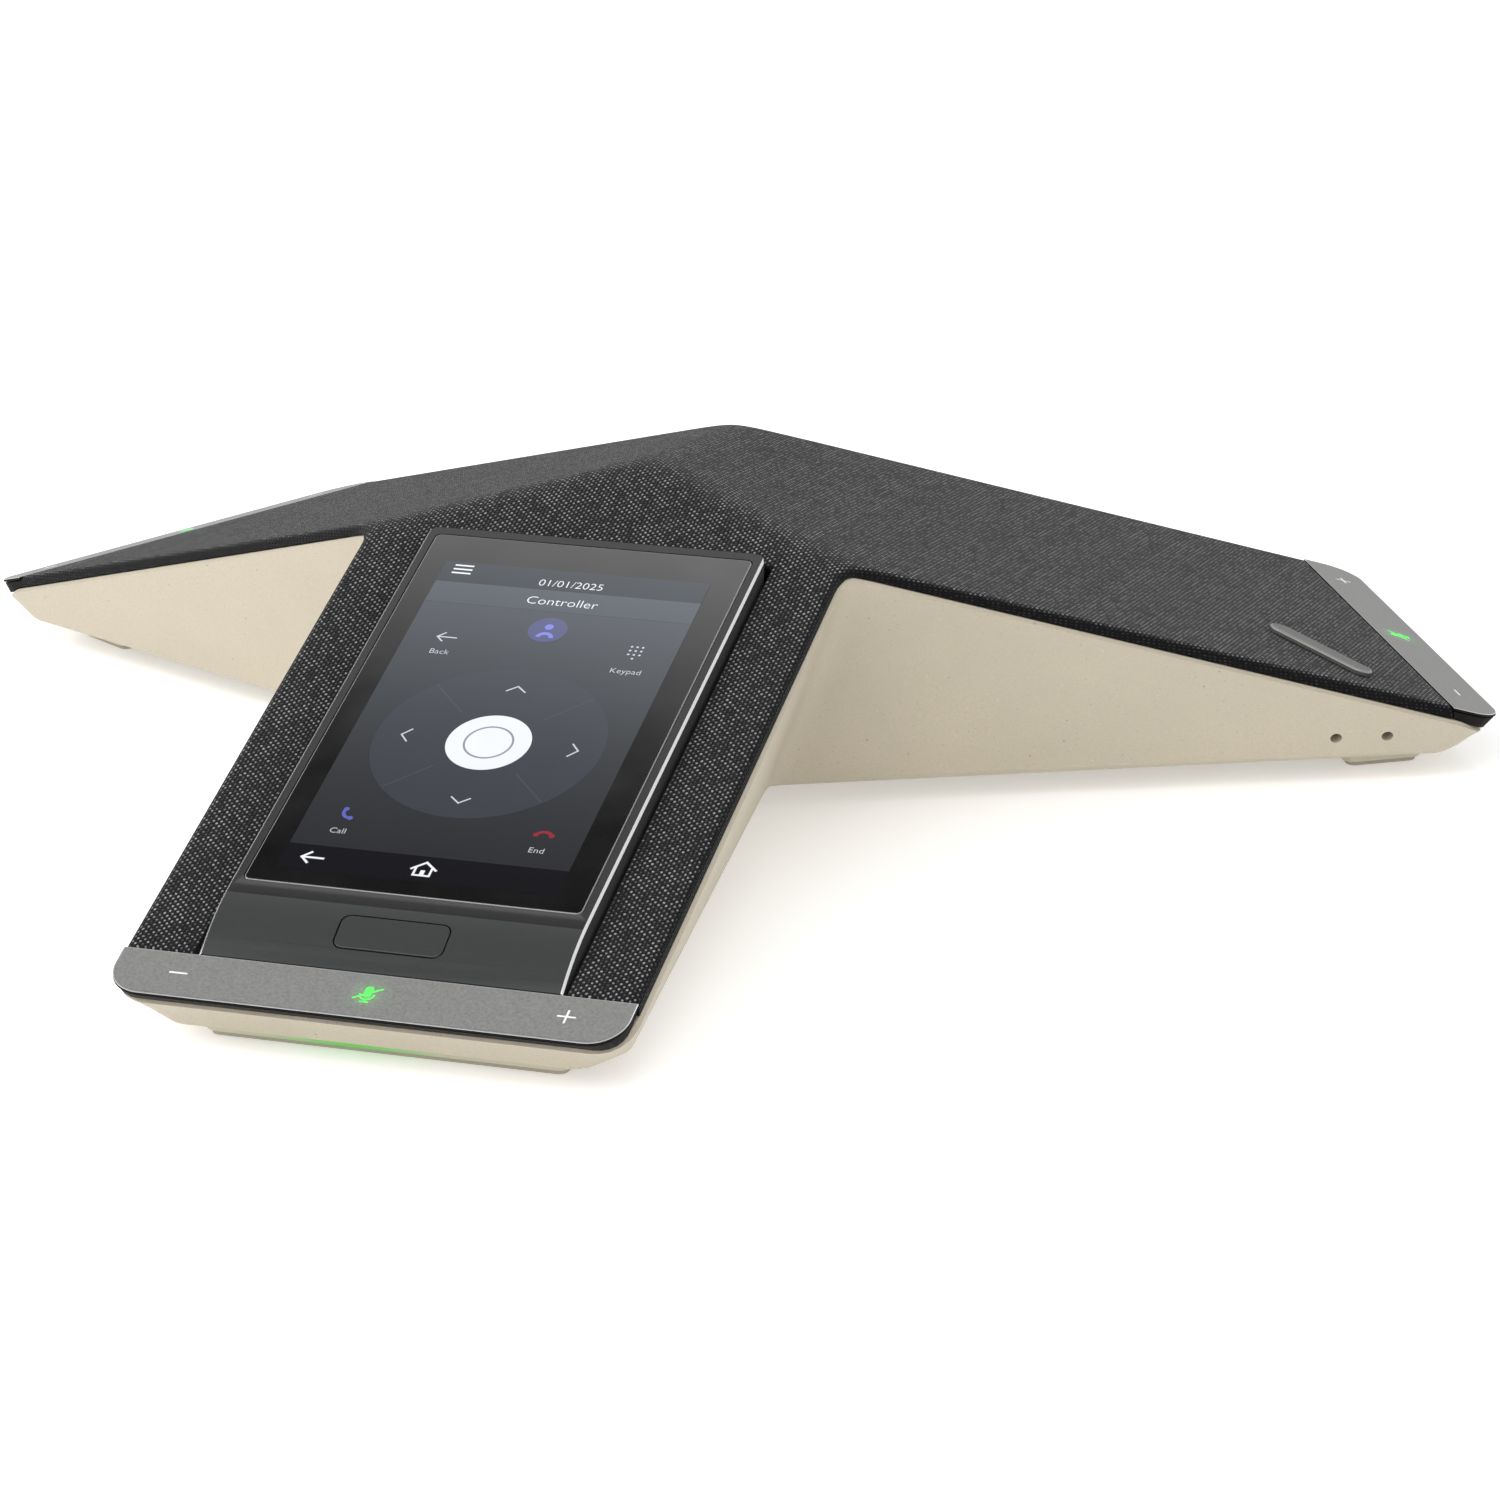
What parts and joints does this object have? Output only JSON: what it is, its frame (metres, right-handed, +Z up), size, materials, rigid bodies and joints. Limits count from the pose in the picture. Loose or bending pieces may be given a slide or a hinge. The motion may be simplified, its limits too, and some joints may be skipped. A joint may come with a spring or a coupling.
{
  "type": "conference phone",
  "caption": "Three-armed table conference phone: fabric-covered star housing, tilted touch screen on one arm, a grey touch bar and a lit foot at the end of each arm.",
  "frame": {"origin": "centre of the bounding box on the table plane, under the feet", "axes": "+Z up from the table; the arm with the screen points to -Y, the other two arms to +X and -X and a little to +Y; metres"},
  "size_m": [0.3818, 0.3328, 0.0761],
  "materials": {
    "cream_housing": "fine-textured warm cream plastic with small fibre specks",
    "charcoal_fabric": "tight woven charcoal melange speaker cloth",
    "touch_bar_grey": "satin grey metallic with a bright edge",
    "gasket_black": "matte black-brown",
    "bezel_grey": "dark graphite satin with a bright edge chamfer",
    "cover_glass": "black printed touch glass, gloss",
    "lcd": "display panel",
    "plated_steel": "plated sheet steel",
    "circuit_board": "green solder mask",
    "soft_rubber": "matte rubber",
    "light_diffuser": "milky translucent plastic over green lights",
    "inner_black": "black moulded plastic",
    "ferrite": "sintered ferrite",
    "cone_paper": "treated paper",
    "pale_rubber": "matte pale grey-cream"
  },
  "bodies": {
    "phone": {"backlight_unit": "plated_steel", "badge": "touch_bar_grey", "bar_carrier_front": "gasket_black", "bar_carrier_left": "gasket_black", "bar_carrier_right": "gasket_black", "base_housing": "cream_housing", "base_screw_1": "plated_steel", "base_screw_2": "plated_steel", "base_screw_3": "plated_steel", "base_screw_4": "plated_steel", "base_screw_5": "plated_steel", "base_screw_6": "plated_steel", "cover_glass": "cover_glass", "display_bezel": "bezel_grey", "display_board": "circuit_board", "ethernet_jack": "plated_steel", "fabric_cover": "charcoal_fabric", "foot_light_guide_front": "light_diffuser", "foot_light_guide_left": "light_diffuser", "foot_light_guide_right": "light_diffuser", "grille_frame": "inner_black", "key_switch": "inner_black", "lcd_panel": "lcd", "led_board_front": "circuit_board", "led_board_left": "circuit_board", "led_board_right": "circuit_board", "main_board": "circuit_board", "mic_board_front": "circuit_board", "mic_board_left": "circuit_board", "mic_board_right": "circuit_board", "mic_boot_front": "soft_rubber", "mic_boot_left": "soft_rubber", "mic_boot_right": "soft_rubber", "mute_light_guide_front": "light_diffuser", "mute_light_guide_left": "light_diffuser", "mute_light_guide_right": "light_diffuser", "port_bay": "inner_black", "port_board": "circuit_board", "rubber_foot_front": "pale_rubber", "rubber_foot_left": "pale_rubber", "rubber_foot_right": "pale_rubber", "shield_can": "plated_steel", "speaker_basket": "plated_steel", "speaker_chamber": "inner_black", "speaker_magnet": "ferrite", "speaker_surround": "soft_rubber", "touch_bar_front": "touch_bar_grey", "touch_bar_left": "touch_bar_grey", "touch_bar_right": "touch_bar_grey", "touch_board_front": "circuit_board", "touch_board_left": "circuit_board", "touch_board_right": "circuit_board", "usb_a_socket": "plated_steel", "usb_c_socket": "plated_steel"},
    "home_key": {"home_key": "bezel_grey"},
    "speaker_cone": {"speaker_cone": "cone_paper"}
  },
  "joints": [
    {"name": "home_key_press", "type": "slide", "parent": "phone", "child": "home_key", "axis": [0, 0.4781, -0.8783], "range_m": [0, 0.0005], "stiffness_N_per_m": 3000, "springref_m": -0.0003},
    {"name": "cone_travel", "type": "slide", "parent": "phone", "child": "speaker_cone", "axis": [0, 0, 1], "range_m": [-0.0015, 0.0015], "stiffness_N_per_m": 1200}
  ]
}
